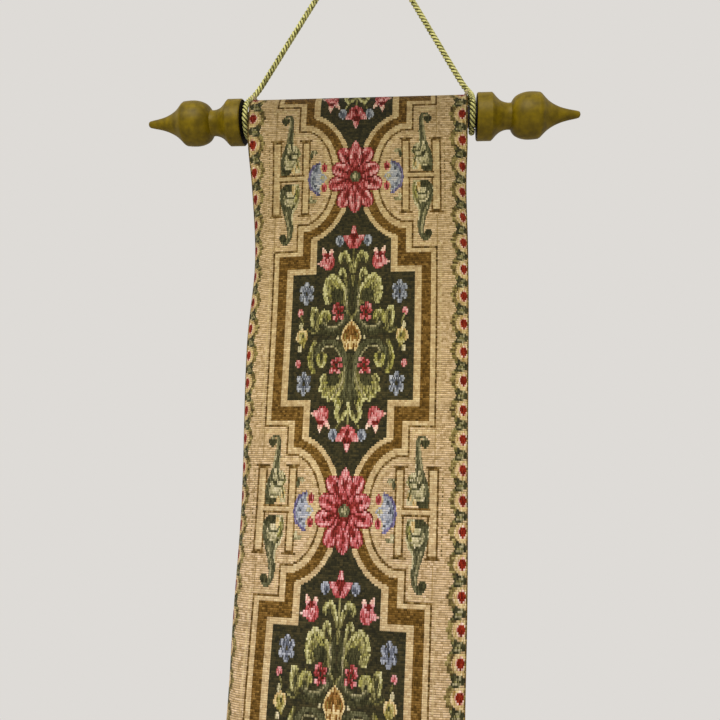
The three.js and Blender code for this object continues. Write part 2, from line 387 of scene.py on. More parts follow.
def panel(across, upright, pinch_wide, pinch_tall):
    """The squares inside the outline, when its wings grow and its pinch shrinks by this much."""
    from_panel = np.abs(down - REPEAT / 2)
    from_rose = np.minimum(down, REPEAT - down)
    wide, tall = PINCH_WIDE - pinch_wide, PINCH_TALL - pinch_tall
    wing = (from_panel < WING_TALL + upright) & (out < WING_WIDE + across)
    ring = ((out - PINCH_AT) / wide) ** 2 + (from_rose / tall) ** 2 > 1
    waist = (out < WAIST_WIDE + across) & ((from_rose > tall) | ((out < PINCH_AT) & ring))
    return wing | waist


for sizes, yarn in (((13.1, 16.1, 13.2, 13.2), "cream"), ((12.3, 15.0, 12.3, 12.2), "ground"),
                    ((11.4, 13.6, 11.3, 11.2), "line"), ((10.4, 12.5, 10.2, 10.0), "cream"),
                    ((7.7, 9.9, 7.5, 6.8), "brown"), ((3.2, 2.9, 2.3, 2.5), "cream"),
                    ((0.0, 0.0, 0.0, 0.0), "field")):
    fill(panel(*sizes), yarn)
print("field covers %.0f%% of the paper" % (100 * (paper == yarn_number["field"]).mean()))

# %% The frame of bars beside each rose: two uprights and a crossbar
away = np.abs(rows_from(0))
fill((np.abs(out - 43.6) < 0.3) & (away < 40) & (away > 24), "faint")
for middle in (26.9, 43.0):
    bar = np.abs(out - middle)
    fill((bar < 3.6) & (away < 21.4) & (away > 20.3), "line")
    fill((bar < 2.6) & (away < 21.4), "line")
    fill((bar < 1.5) & (away < 20.2), "cream")
fill((np.abs(out - 47.2) < 0.4) & (away < 20.2) & (down % 2.08 < 1.04), "scallop")
fill((out > 28.0) & (out < 42.0) & (away < 2.4), "line")
fill((out > 26.4) & (out < 43.2) & (away < 1.4), "cream")
print("bars drawn")

# %% [markdown]
# ## Scrolls, roses and bells
# Leaves are shaded as an embroiderer shades them: a light rim, a middle green and a dark fold.

# %% The two scrolls of each frame
oval("leaf_deep", 38.6, -33.0, 2.1, 2.4)
oval("sage", 38.4, -34.6, 1.2, 0.8)
stroke("sage_deep", [(38.2, -35.8), (36.2, -35.8), (35.2, -32.6), (35.4, -27), (36.0, -20)], 1.4, 4.2)
stroke("sage", [(36.2, -34.4), (36.2, -30), (36.9, -24), (37.6, -19)], 0.8, 1.4)
stroke("sage_light", [(34.4, -26), (34.2, -21)], 0.7)
area("sage_light", [(34.4, -19.4), (37.4, -20), (39.6, -15.6), (41, -10.4), (40.8, -3.2), (37, -2.6),
     (30.4, -3.4), (30.0, -9), (31.6, -11), (29.8, -13.8), (31.2, -17.6)])
stroke("sage_deep", [(37.4, -19.6), (39.2, -13.6), (40.0, -8), (39.6, -3.4)], 1.4, 2.2, 0.5)
stroke("sage_deep", [(35.2, -19), (34.0, -14.4), (31.4, -13.6)], 1.2, 0.8)
stroke("sage_deep", [(37.6, -14.4), (35.4, -11.0), (32.4, -11.4)], 1.4, 0.9)
stroke("sage", [(39.0, -9.6), (37.6, -6.6), (34.4, -7.0), (33.4, -9.2)], 1.2, 0.9)
stroke("sage", [(36.6, -17.4), (35.4, -14.2), (33.0, -15.8)], 0.8)
oval("leaf_deep", 37.4, -4.0, 3.0, 1.6)
oval("leaf_deep", 36.2, -12.6, 1.1, 1.4)
oval("straw", 31.6, -7.0, 1.2, 2.4)
stroke("leaf", [(31.6, -16.6), (30.9, -13.6), (32.0, -10.6), (31.0, -5.4)], 1.0)
oval("straw", 34.0, -4.2, 0.9, 1.7)
area("sage_light", [(31.0, 3), (38.4, 2.8), (41.0, 6.4), (41.2, 11.6), (40.2, 16.4), (38.0, 20.4),
     (34.2, 20.6), (31.6, 17), (30.2, 12.4), (31.4, 9.4), (30.2, 6.4)])
stroke("sage_deep", [(39.6, 5.6), (40.0, 11.5), (38.8, 17), (37.2, 21.4)], 2.2, 1.6, 0.5)
oval("leaf_deep", 36.8, 5.2, 3.0, 2.4)
oval("straw", 33.6, 6.6, 1.1, 2.8)
stroke("leaf", [(31.4, 4.4), (31.0, 8.8), (32.0, 13.2), (34.0, 16.4)], 1.2, 1.6)
stroke("lime", [(32.3, 6.4), (32.2, 10.4), (33.4, 13.8)], 0.8)
stroke("sage_deep", [(38.6, 6.6), (37.4, 10.4), (33.8, 10.6), (32.4, 8.8)], 1.4, 0.9)
stroke("sage", [(38.8, 10.6), (36.8, 13.8), (32.6, 13.6)], 1.1, 0.9)
stroke("sage_deep", [(38.4, 14.8), (36.2, 17.4), (33.4, 16.4)], 1.3, 0.9)
stroke("sage_deep", [(36.8, 18.4), (35.6, 24), (35.0, 29), (35.0, 33), (36.6, 36.0),
       (39, 36.0)], 5.2, 1.6)
stroke("sage", [(37.8, 18.8), (36.4, 24), (35.6, 29), (35.6, 33)], 1.5, 0.9)
stroke("sage_light", [(34.2, 20.4), (33.8, 25.4)], 1.1, 0.7)
oval("leaf_deep", 38.8, 33.5, 2.1, 2.3)
print("scrolls drawn")

# %% The bell flowers, which point at the rose from both sides
area("cream", [(9.5, 0.3), (17.4, -3.4), (17.4, 3.4)])
area("sky", [(15.2, 0.2), (18.2, -3.2), (19.0, -8.4), (22.4, -6.6), (24.6, -2.6), (25.3, 1.4),
     (24.4, 5.4), (22, 8.2), (19.2, 10.0), (18.2, 4.2)])
stroke("blue_light", [(20.6, -6.2), (23.0, -3), (23.6, 1.2), (22.6, 5.2), (20.8, 7.8)], 1.7)
stroke("violet", [(19.4, -8.4), (22.6, -6.4), (24.7, -2.4), (25.1, 1.5), (24.2, 5.6), (21.8, 8.2),
       (19.4, 10.0)], 1.2, 1.2, 0.5)
for x, y in ((21.2, -4.2), (22.6, 0.4), (21.6, 4.8), (19.9, 6.8)):
    oval("blue", x, y, 0.8, 1.0)
oval("sage_light", 17.6, 0.4, 1.4, 1.2)
oval("sage", 22.6, -14.4, 2.1, 1.3, -20)
oval("sage_deep", 24.0, -12.4, 0.9, 2.2)
oval("sage", 22.8, 13.6, 2.3, 1.2, 20)
oval("sage_light", 23.8, 11.8, 1.0, 1.5)
for y in (-5.4, 6.0):
    oval("cream", 16.8, y, 2.3, 3.4)
    oval("rose", 16.8, y, 1.6, 2.6)
    oval("rose_deep", 16.8, y + 0.3, 0.7, 1.4)
print("bells drawn")


# %% The rose: ten petals, dark at the heart and light towards the tips
def petal(lean, reach, wide, full=0.66):
    t, edge = blade(0, 0, reach, wide, lean, full)
    fill(edge < 1.12, "rose_deep")
    fill((edge < 0.9) & (t > 0.24), "rose")
    fill((edge > 0.42) & (edge < 0.84) & (t > 0.54) & (t < 0.93), "rose_light")
    fill((edge < 0.2) & (t > 0.2) & (t < 0.74), "rose_deep")


for lean, reach, wide, full in ((156, 19.0, 7.4, 0.7), (25, 18.2, 7.2, 0.72), (180, 20.6, 7.0, 0.62),
                                (0, 18.4, 7.4, 0.66), (112, 15.4, 8.8, 0.62), (64, 14.0, 8.4, 0.62)):
    petal(lean, reach, wide, full)
t, edge = blade(0, -14.2, 6.6, 3.9, 0, 0.42)
fill(edge < 1, "rose")
fill(edge < 0.6, "rose_light")
for lean, reach in ((0, 9.6), (32, 8.4), (148, 9.0), (180, 9.6)):
    t, edge = blade(0, 0, reach, 3.6, lean, 0.6)
    fill(edge < 1, "rose_deep")
    fill((edge < 0.6) & (t > 0.5), "rose")
oval("rose_deep", 0, 0.2, 3.7, 3.7)
oval("sage_deep", 0, 0.2, 2.9, 3.0)
oval("sage", 0, 0.2, 1.7, 1.8)
oval("sage_light", 0, 0.2, 0.6, 0.7)
print("rose drawn")

# %% The scalloped border, twelve scallops to a repeat
PITCH = REPEAT / 12
from_dot = (down + 6.0 + PITCH / 2) % PITCH - PITCH / 2
from_leaf = np.abs(from_dot) - PITCH / 2


def beside_dot(x, half_wide, half_tall, rows=from_dot):
    return ((out - x) / half_wide) ** 2 + (rows / half_tall) ** 2 <= 1


around = np.arctan2(from_dot / 7.2, (59.0 - out) / 8.8)
frill = 1 + 0.1 * np.cos(12 * around)  # the lacy outer edge of each scallop
fill(((out - 59.0) / 8.8) ** 2 + (from_dot / 7.2) ** 2 <= frill, "scallop")
fill(beside_dot(59.0, 6.3, 5.5), "ground")
fill(beside_dot(57.8, 4.6, 4.8), "straw")
fill(beside_dot(57.2, 2.4, 3.0), "pale_pink")
fill(beside_dot(57.1, 1.9, 2.5), "ruby")
opening = out - 0.9 * from_leaf  # the two leaves of a pair part towards the middle of the band
for x, half_wide, rows, half_tall, yarn in (
        (57.0, 3.5, 0.0, 2.9, "leaf_deep"), (56.9, 2.0, 1.2, 0.55, "sage"),
        (54.7, 0.9, 2.1, 0.6, "leaf"), (56.0, 1.5, 0.1, 0.5, "leaf"), (58.8, 0.7, 2.1, 0.6, "sage")):
    fill(((opening - x) / half_wide) ** 2 + ((from_leaf + rows) / half_tall) ** 2 <= 1, yarn)
fill((out > 59.0) & (np.abs(from_leaf) > 1.2), "scallop")
fill((out > 59.5), "line")
print("scallops: one each %.2f mm" % PITCH)

# %% [markdown]
# ## The flowers of the dark field
# The heights below are measured from the middle of the panel, with up as minus. Leaves come first
# and blossoms last, as the blossoms lie over the stems.

# %% Stems and the upper spray of leaves
home = REPEAT / 2
stroke("leaf", [(0.2, -47), (0.2, -38), (0.4, -26)], 0.8, 0.9)
stroke("leaf_deep", [(1.4, -29), (1.5, -18), (1.8, -8)], 1.6, 2.2)
stroke("sage_deep", [(2.6, -27), (3.0, -18), (2.4, -9)], 0.8, 1.6)
stroke("leaf", [(0.8, -34), (2.4, -39.4), (4.0, -43.0), (5.6, -42.6), (6.8, -40.4)], 1.4, 2.6)
stroke("leaf_light", [(0.6, -36.4), (2.0, -41.0), (4.0, -44.6), (6.2, -43.8),
       (7.2, -41.6)], 0.8, 1.5, 0.7)
oval("leaf_deep", 5.0, -40.6, 0.9, 1.7, 20)
stroke("leaf", [(3.4, -26), (4.2, -31), (5.2, -34), (6.6, -33.4), (7.4, -30.2)], 1.4, 1.8)
stroke("leaf_light", [(3.6, -30.6), (4.2, -33.6), (5.6, -35.8), (7.0, -34.6),
       (7.2, -32.2)], 0.8, 1.2, 0.7)
area("leaf", [(2.6, -15), (3.4, -22), (5.8, -28), (8.8, -31.4), (12, -32), (14.4, -28.8), (15.0, -24),
     (14.2, -18.6), (12.2, -16.8), (10.6, -17.8), (9.4, -19.6), (6.4, -17.4)])
oval("leaf_deep", 8.0, -21.6, 3.2, 4.2, 24)
stroke("leaf_light", [(2.6, -15.5), (3.6, -22.6), (6.2, -28.4), (8.8, -31)], 0.9, 1.4, 0.6)
stroke("leaf_light", [(8.4, -30.6), (11.0, -32.2), (13.2, -30.4), (14.5, -26.4), (14.6, -21.8),
       (13.2, -17.6)], 1.6, 1.5, 0.9)
for tip, bend in (((11.2, -29.4), (8.0, -25.4)), ((12.6, -26.4), (9.6, -23.8)),
                  ((13.0, -22.4), (11.0, -21.0)), ((9.4, -29.6), (6.4, -25.0))):
    stroke("lime", [bend, tip], 0.5, 0.8)
stroke("sage", [(3.2, -12), (3.0, -19), (3.6, -26)], 0.9, 0.7)
print("upper leaves drawn")

# %% The middle leaves, the palmette and its stems
stroke("leaf_deep", [(5, -2.4), (9.4, -0.8), (14, -1.8), (18.6, -2.0), (22.4, -3.8)], 2.6, 2.0)
stroke("sage_deep", [(2.6, -11), (4.8, -7), (8.2, -4.4), (12.0, -4.0), (15.0, -6.4)], 2.8, 2.4)
oval("leaf", 14.2, -9.6, 2.5, 3.8)
oval("leaf_deep", 14.6, -7.6, 1.0, 2.2)
stroke("lime", [(11.8, -8.6), (12.4, -11.6), (14.4, -13.2), (16.4, -11.2), (16.8, -7.0)], 1.6, 1.3, 0.6)
stroke("leaf_light", [(12.6, -12.2), (14.4, -13.4), (16.0, -12.2)], 1.1)
stroke("leaf", [(18.4, -3.6), (18.0, -9), (19.0, -14.4), (20.6, -11), (20.4, -5)], 1.8, 1.4)
stroke("leaf_light", [(20.8, -5.4), (21.4, -10), (20.4, -15.4), (18.6, -13.8)], 1.2, 1.3, 0.6)
oval("leaf_deep", 19.2, -9.0, 0.7, 2.8)
stroke("sage", [(4.8, -7.6), (7.2, -5.2), (10.4, -4.2), (13.4, -5.4), (14.8, -7.2)], 0.9)
stroke("leaf", [(16.6, -3.6), (20, -1.6), (23.4, -4.0)], 0.8)
area("straw", [(0, -8.6), (1.4, -6.6), (3.2, -5.2), (4.6, -2.4), (5.3, 0.6), (4.9, 3.0), (3.6, 4.8),
     (3.9, 6.8), (2.6, 9.0), (1.3, 7.0), (0, 6.8)])
area("russet", [(0, -5.2), (1.6, -4.8), (3.0, -3.2), (4.2, -0.8), (4.4, 1.4), (3.4, 3.4), (2.2, 2.0),
     (0.8, 3.4), (0, 3.0)])
stroke("russet", [(0, -7.0), (0, -4)], 0.8)
stroke("brown", [(1.6, -2.8), (2.0, 1.0)], 0.9)
stroke("gold", [(3.3, -0.6), (3.2, 1.6)], 0.6)
stroke("straw", [(0, 0.8), (0, 6.8)], 1.0, 0.8)
stroke("russet", [(1.5, 4.0), (1.5, 6.8)], 0.7)
stroke("russet", [(3.0, 4.2), (2.9, 6.4)], 0.7)
oval("sage_light", 6.9, 1.4, 0.7, 1.2)
stroke("leaf", [(2.6, -12.6), (0.8, -10.4), (0.3, -8.8)], 1.2, 0.8)
print("palmette drawn")

# %% The lower volutes and shell leaves
stroke("sage_deep", [(1.8, 20), (2.6, 12.6), (5.2, 6.4), (9.8, 3.2), (14.0, 3.6),
       (17.0, 6.8)], 3.0, 2.2)
stroke("sage_deep", [(16.2, 5.4), (17.4, 9.4), (17.2, 13)], 2.0, 2.2)
stroke("sage", [(5.4, 10.8), (7.4, 7.2), (11.0, 5.4), (14.0, 6.4), (15.6, 9.0)], 0.9)
oval("leaf", 14.9, 12.2, 2.1, 4.0)
stroke("lime", [(13.2, 9.4), (12.9, 13.2), (14.7, 16.2), (16.6, 14.2), (16.8, 10.6)], 1.4, 1.3, 0.6)
stroke("leaf_light", [(13.3, 14.2), (14.8, 16.2), (16.5, 14.6)], 1.1)
oval("leaf_deep", 15.1, 10.8, 0.8, 1.9)
stroke("leaf", [(18.9, 3.4), (20.0, 7.8), (20.5, 12), (19.6, 16.6), (19.0, 18.4)], 2.2, 2.6)
stroke("leaf_deep", [(18.7, 6), (19.2, 11), (18.6, 15.8)], 1.0)
stroke("lime", [(19.4, 3.0), (21.2, 7.4), (21.7, 12), (20.6, 16.6), (19.2, 18.8)], 0.9, 1.4, 0.6)
stroke("leaf_light", [(20.6, 5.4), (21.6, 9.4)], 0.8)
area("leaf", [(2.0, 15), (3.8, 18), (6.2, 21.2), (10.6, 22.0), (13, 19.4), (15.2, 22.4), (14.8, 25.6),
     (15.8, 28.0), (14.2, 29.2), (13.8, 32.0), (11.9, 31.8), (10.6, 34.6), (8.8, 33.2), (7.4, 33),
     (6.4, 36.6), (4.6, 38.4), (2.4, 35.4), (0.6, 26)])
oval("leaf_deep", 8.6, 23.4, 3.6, 2.7, 30)
stroke("sage", [(2.7, 16), (3.4, 23), (6.0, 28.4), (8.8, 31.6)], 0.9)
for rim in ([(12.8, 19.8), (14.8, 22.2), (14.4, 25.6), (15.4, 27.9)],
            [(15.4, 28.2), (13.8, 28.8), (13.4, 31.6)], [(13.4, 31.8), (11.5, 31.4), (10.4, 34.2)],
            [(10.4, 34.2), (8.8, 32.8), (7.4, 33)]):
    stroke("leaf_light", rim, 0.9)
for start, tip in (((8.0, 27.6), (12.0, 30.4)), ((9.6, 26.8), (13.2, 27.4)), ((11.4, 24.6), (13.6, 24)),
                   ((6.8, 29.0), (9.8, 32.0)), ((5.2, 29.6), (6.6, 32))):
    stroke("lime", [start, tip], 0.5, 0.7)
stroke("leaf_light", [(7.2, 32.6), (6.8, 35.2), (5.0, 38.2)], 1.3, 1.4, 0.6)
stroke("field", [(7.6, 34.4), (8.2, 36.4)], 0.8)
oval("lime", 5.0, 34.2, 0.8, 2.4, 12)
oval("leaf_deep", 3.6, 31.0, 0.9, 3.4, -10)
stroke("leaf_deep", [(0.8, 11), (0.9, 24), (1.4, 35)], 2.4, 3.0)
stroke("sage_deep", [(1.9, 12), (2.0, 22), (2.6, 32)], 0.8, 1.2)
stroke("sage_deep", [(0.4, 18), (0.4, 26), (0.8, 34)], 0.6, 0.8)
stroke("field", [(2.6, 35.4), (3.4, 38.6)], 1.2)
oval("leaf_light", 0.2, 37.0, 1.0, 2.6)
stroke("leaf", [(1.4, 39.4), (3.0, 41.6), (4.6, 41.8), (5.8, 39.6)], 2.0, 1.6)
stroke("leaf_light", [(0.6, 38.8), (1.8, 41.6), (4.0, 43.8), (5.8, 42.0), (6.4, 38.4)], 1.1, 1.3, 0.7)
stroke("leaf", [(0.2, 40), (0.2, 48)], 0.7)
stroke("leaf", [(4, 44.6), (6.4, 48)], 0.7)
print("lower leaves drawn")


# %% Tulips, from the middle of the flower, opening up (1) or down (-1)
def tulip(x, y, up, lean=0.0):
    turn = 0 if up > 0 else 180
    if x == 0:
        oval("rose", 0, y + up * 0.2, 4.2, 4.4)
        for spread, reach, wide in ((0, 9.6, 3.4), (58, 7.0, 4.4), (-58, 7.0, 4.4)):
            t, edge = blade(0, y + up * 0.8, reach, wide, turn + spread, 0.45)
            fill(edge < 1, "rose")
            fill((edge < 0.75) & (t > 0.5), "rose_light")
        oval("rose_deep", 0, y - up * 2.6, 2.6, 1.5)
        oval("rose_deep", 0, y + up * 0.4, 0.8, 2.4)
        oval("rose_light", 2.2, y + up * 0.4, 0.6, 1.8)
        return
    oval("rose", x, y, 3.4, 4.6, lean)
    for spread, reach in ((lean - 24, 7.8), (lean + 14, 8.6)):
        t, edge = blade(x, y, reach, 2.7, turn + up * spread, 0.5)
        fill(edge < 1, "rose_light")
        fill((edge < 1) & (t > 0.62), "pale_pink")
    t, edge = blade(x + 1, y + up * 0.8, 4.9, 3.2, 90, 0.35)
    fill(edge < 1, "rose_light")
    fill((edge < 1) & (t > 0.66), "pale_pink")
    oval("rose_light", x + 0.6, y + up * 0.4, 2.0, 2.8, lean)
    oval("rose", x - 0.6, y + up * 0.8, 0.5, 2.0, lean)
    oval("rose", x + 1.2, y - up * 0.4, 0.5, 1.8, lean)
    oval("rose_deep", x + 0.6, y - up * 3.4, 2.0, 1.2)


tulip(0, -51.0, 1)
tulip(13.4, -39.8, 1, 8)
tulip(13.4, 41.0, -1, -8)
tulip(0, 50.8, -1)
print("tulips drawn")


# %% Small flowers
def bud(x, y, half_wide, half_tall, edge, middle):
    oval(edge, x, y, half_wide, half_tall)
    oval(middle, x - 0.4, y + 0.8, half_wide * 0.5, half_tall * 0.5)


def blossom(x, y, size, tall, petals, rim, middle, heart, turn=0.0):
    oval(middle, x, y, size * 0.66, tall * 0.66)
    for i in range(petals):
        a = math.radians(turn + 360 * i / petals)
        px, py = x + size * math.sin(a), y - tall * math.cos(a)
        oval(rim, px, py, size * 0.5, tall * 0.46)
        oval(middle, x + 0.8 * (px - x), y + 0.8 * (py - y), size * 0.2, tall * 0.24)
        b = math.radians(turn + 360 * (i + 0.5) / petals)
        oval(heart, x + 1.05 * size * math.sin(b), y - 1.05 * tall * math.cos(b), 0.5, 0.7)
    oval(heart, x, y, size * 0.22, tall * 0.34)


bud(7.4, -51.2, 2.2, 3.0, "blue_light", "blue")
bud(7.3, 50.6, 2.2, 3.0, "blue_light", "blue")
bud(27.4, -12.6, 1.5, 1.9, "rose_light", "rose")
bud(27.2, 14.4, 1.5, 1.9, "rose_light", "rose")
stroke("leaf", [(27, -10.6), (25.6, -6.6), (26.4, -4.4)], 0.8)
blossom(24.4, -23.0, 2.8, 4.3, 6, "blue_light", "blue", "field")
blossom(23.8, 24.8, 2.8, 4.2, 6, "blue_light", "blue", "field", 180)
blossom(7.1, -12.6, 2.2, 3.6, 5, "rose", "rose_deep", "field", 12)
blossom(7.2, 15.8, 2.2, 3.2, 5, "rose", "rose_deep", "field", 200)
for x, y in ((9.4, -15.6), (5.2, -9.0), (9.2, -9.4), (5.2, 12.6), (9.8, 18.8), (5.8, 19.0)):
    oval("rose_light", x, y, 0.8, 1.2)
oval("gold", 25.8, 0.4, 3.0, 4.0)
stroke("straw", [(23.4, 1.4), (24.4, -2.6), (26.6, -3.2), (28.4, -0.8), (28.2, 2.4)], 0.9, 1.1, 0.8)
oval("leaf_deep", 25.4, 0.2, 0.7, 1.3)
stroke("gold", [(25.6, 3.6), (24.8, 6.2)], 2.0, 1.0)
oval("sage_light", 26.8, -5.2, 0.9, 1.7)
oval("sage_light", 26.8, 6.8, 1.1, 2.0)
print("yarns used:", len(np.unique(paper)), "of", len(YARNS))

# %% [markdown]
# ## The cloth's true shape
# The band is one sheet: up from the sewn hem, up the front, over the rod and down behind as the
# casing. Its middle line is a list of points seen from the edge, and the way it hangs is a small
# table by height: it turns a little, drifts sideways, and its borders roll back. A cloth
# simulation isn't needed, as a narrow band on a taut cord only turns and rolls.

# %% The middle line, from the hem's end to the casing's end
WIDTH, THICK, DROP = 120.0, 1.4, 795.0  # DROP is from the rod's axis to the fold of the hem
HEM, TAIL = 16.0, 36.0  # the hem's height, and how far below the axis the casing ends
MEETS = 24.0  # from here down, the casing lies flat behind the front
ROD_RADIUS, GAP = 10.1, 0.3
WRAP = ROD_RADIUS + GAP + THICK / 2  # from the rod's axis to the middle of the cloth
LAYER = THICK + GAP
ROSE = 40.0  # the first rose's middle is this far below the rod's axis


def arc(cx, cy, radius, start, stop, steps):
    turns = np.radians(np.linspace(start, stop, steps))
    return np.stack([cx + radius * np.cos(turns), cy + radius * np.sin(turns)], axis=1)


# Behind, the casing leaves the rod straight and eases into the layer behind the front.
meet = np.array([LAYER - WRAP, -MEETS])
leave = math.degrees(math.atan2(meet[1], meet[0])) + math.degrees(
    math.acos(WRAP / np.hypot(*meet)))
off = WRAP * np.array([math.cos(math.radians(leave)), math.sin(math.radians(leave))])
way = (meet - off) / np.linalg.norm(meet - off)
slope = math.degrees(math.atan2(-way[0], -way[1]))
EASE = 6.0
start = meet - way * EASE * math.tan(math.radians(slope / 2))
centre = start + EASE * np.array([-way[1], way[0]])
middle_line = np.vstack([  # pairs: behind the rod's axis, above the rod's axis
    [(LAYER - WRAP, HEM - DROP)],
    arc(LAYER / 2 - WRAP, LAYER / 2 - DROP, LAYER / 2, 0, -180, 25),
    arc(0, 0, WRAP, 180, leave, 200),
    arc(*centre, EASE, 180 - slope, 180, 25),
    [(LAYER - WRAP, -TAIL)],
])
print("leaves the rod at %.1f degrees, slope %.1f" % (leave, slope))

# %% One row of faces for each rib, with shorter ones round the hem's sharp fold
cloth_run = np.r_[0, np.cumsum(np.linalg.norm(np.diff(middle_line, axis=0), axis=1))]
front_foot = HEM - LAYER / 2 + math.pi * LAYER / 2


def to_rose(along_cloth):
    """How far below the first rose's middle a place on the cloth is, in millimetres."""
    return front_foot + (DROP - LAYER / 2 - ROSE) - along_cloth


first_rib = math.floor(to_rose(front_foot) / RIB)
last_rib = math.ceil(to_rose(cloth_run[-1]) / RIB)
fold = HEM - LAYER / 2
rows = np.r_[np.linspace(0, fold, 16), np.linspace(fold, front_foot, 7)[1:],
             [front_foot + to_rose(front_foot) - RIB * k for k in range(first_rib, last_rib, -1)],
             cloth_run[-1]]
rows = rows[np.r_[True, np.diff(rows) > 0.05]]
print("cloth cut %.0f x %.0f mm, in %d rows" % (WIDTH, cloth_run[-1], len(rows) - 1))

# %% How the band hangs, by its distance below the rod's axis
HANG = np.array([  # below, turn, drift, roll of the left and right borders, bow; mm and degrees
    (0, 0, 0, 0, 0, 0), (12, 0, 0, 4, 6, 0), (40, 2.2, 0.6, 44, 46, 1.0),
    (82, 4.4, 0.9, 70, 44, 1.3), (130, 6.0, 1.0, 50, 40, 1.1), (215, 7.1, 0.2, 68, 46, 1.2),
    (265, 6.8, -0.7, 76, 34, 1.0), (305, 6.0, -1.7, 90, 28, 1.0), (400, 4.0, -3.0, 72, 36, 1.2),
    (520, 1.2, -3.4, 54, 50, 1.3), (650, -1.6, -2.6, 58, 60, 1.2), (795, -3.4, -1.2, 34, 30, 0.8),
])
FLAT = 44.0  # the borders roll outside this distance from the middle


def hang(column, below):
    """One column of the table at many heights, by a smooth curve through its rows."""
    at, value = HANG[:, 0], HANG[:, column]
    i = np.clip(np.searchsorted(at, below, side="right") - 1, 0, len(at) - 2)
    before, after = np.maximum(i - 1, 0), np.minimum(i + 2, len(at) - 1)
    span = at[i + 1] - at[i]
    m0 = span * (value[i + 1] - value[before]) / (at[i + 1] - at[before])
    m1 = span * (value[after] - value[i]) / (at[after] - at[i])
    t = np.clip((below - at[i]) / span, 0, 1)
    return ((2 * t**3 - 3 * t**2 + 1) * value[i] + (t**3 - 2 * t**2 + t) * m0
            + (3 * t**2 - 2 * t**3) * value[i + 1] + (t**3 - t**2) * m1)


def on_band(across, behind, below):
    """Where points of the band lie, in millimetres, from their place on the flat cloth."""
    across, behind, below = (np.asarray(a, float) for a in (across, behind, below))
    sign, border = np.sign(across), WIDTH / 2 - FLAT
    roll = np.radians(np.where(across < 0, hang(3, below), hang(4, below)))
    angle = roll * np.maximum(np.abs(across) - FLAT, 0) / border
    bend = border / np.maximum(roll, 1e-3)
    flat = np.minimum(np.abs(across), FLAT)
    reach = flat + bend * np.sin(angle) - behind * np.sin(angle)
    back = hang(5, below) * (flat / FLAT) ** 2 + bend * (1 - np.cos(angle)) + behind * np.cos(angle)
    turn = np.radians(hang(1, below))
    x = sign * reach * np.cos(turn) + back * np.sin(turn) + hang(2, below)
    y = back * np.cos(turn) - sign * reach * np.sin(turn)
    over = below <= 0
    return np.stack([np.where(over, across, x), np.where(over, behind, y) - WRAP, ROD_Z - below],
                    axis=-1)


print("hem's corners:", np.round(on_band([-60, 60], [0, 0], [795, 795])))

# %% A flat grid, laid along the middle line
ALL_ENDS, PER_FACE = 2 * ENDS, 5
COLUMNS = ALL_ENDS // PER_FACE
cloth = bmesh.new()
bmesh.ops.create_grid(cloth, x_segments=COLUMNS, y_segments=len(rows) - 1, size=0.5)
band = piece("tapestry_cloth", cloth)
flat_points = np.zeros(len(band.data.vertices) * 3)
band.data.vertices.foreach_get("co", flat_points)
flat_points = flat_points.reshape(-1, 3)
row_of = np.rint((flat_points[:, 1] + 0.5) * (len(rows) - 1)).astype(int)
across = flat_points[:, 0] * WIDTH
behind = np.interp(rows[row_of], cloth_run, middle_line[:, 0]) + WRAP
height = np.interp(rows[row_of], cloth_run, middle_line[:, 1])
# Slow soft waves, up to 0.44 mm deep, where the cloth is a single layer.
single_layer = np.clip((-height - 50) / 40, 0, 1) * np.clip((height + DROP - 25) / 30, 0, 1)
lumps = (np.sin(height / 23 + across / 31) + np.sin(height / 41 - across / 17 + 2)) * 0.22
placed = on_band(across, behind + lumps * single_layer, -height)
band.data.vertices.foreach_set("co", (placed * MM).ravel())
print("cloth points:", len(placed))

# %% Where each corner and each face is on the flat cloth
corner_vertex = np.zeros(len(band.data.loops), int)
band.data.loops.foreach_get("vertex_index", corner_vertex)
threads = np.stack([(flat_points[corner_vertex, 0] + 0.5) * WIDTH / STITCH,
                    to_rose(rows[row_of[corner_vertex]]) / RIB], axis=1)
band.data.uv_layers.new(name="threads").data.foreach_set("uv", threads.ravel())
face_threads = threads.reshape(-1, 4, 2).mean(axis=1)
column = np.floor(face_threads[:, 0] / PER_FACE).astype(int)
rib = np.floor(face_threads[:, 1] + 1e-6).astype(int)
print("columns", column.min(), "to", column.max(), "ribs", rib.min(), "to", rib.max())

# %% [markdown]
# ## Five stitches to a face
# A face of the grid is one rib tall and five warp ends wide. The colours of its five stitches are
# kept in five face attributes, and the material picks one by where it is across the face. So the
# cloth has every stitch of its chart, with only a fifth of the faces. Spun yarn is never one even
# colour, so each stitch takes one of its yarn's shades by a seeded draw. Towards the rod every
# colour is also dimmed and made a little yellower by a small table of heights: a painted shade.

# %% The chart, mirrored and coloured stitch by stitch
draw = np.random.default_rng(7)
full_paper = np.concatenate([paper[:, ::-1], paper], axis=1)
end_of = column[:, None] * PER_FACE + np.arange(PER_FACE)
rib_of = np.repeat((rib - rib.min())[:, None], PER_FACE, axis=1)
stitch_yarn = full_paper[rib % RIBS][np.arange(len(rib))[:, None], end_of]
ribs_in_all = rib_of.max() + 3
single = draw.random((ribs_in_all, ALL_ENDS))
paired = draw.random((ribs_in_all // 2 + 2, ALL_ENDS))  # "tall": two ribs share a shade
runs = draw.random((ribs_in_all, ALL_ENDS // 3 + 7))  # "long": three ends share a shade
tall = paired[(rib_of + draw.integers(0, 2, ALL_ENDS)[end_of]) // 2, end_of]
long_run = runs[rib_of, (end_of + draw.integers(0, 4, ribs_in_all)[rib_of]) // 3]
shades = [[colour(h)[:3] for h in hexes.split()] for hexes, _, _ in YARNS.values()]
RUNGS = 24  # shades in between, which every yarn gets from its few listed ones
ladder = np.array([np.interp(np.linspace(0, 1, RUNGS), np.linspace(0, 1, len(listed)), lane)
                   for listed in shades for lane in zip(*listed)])
ladder = ladder.reshape(len(shades), 3, RUNGS).transpose(0, 2, 1)
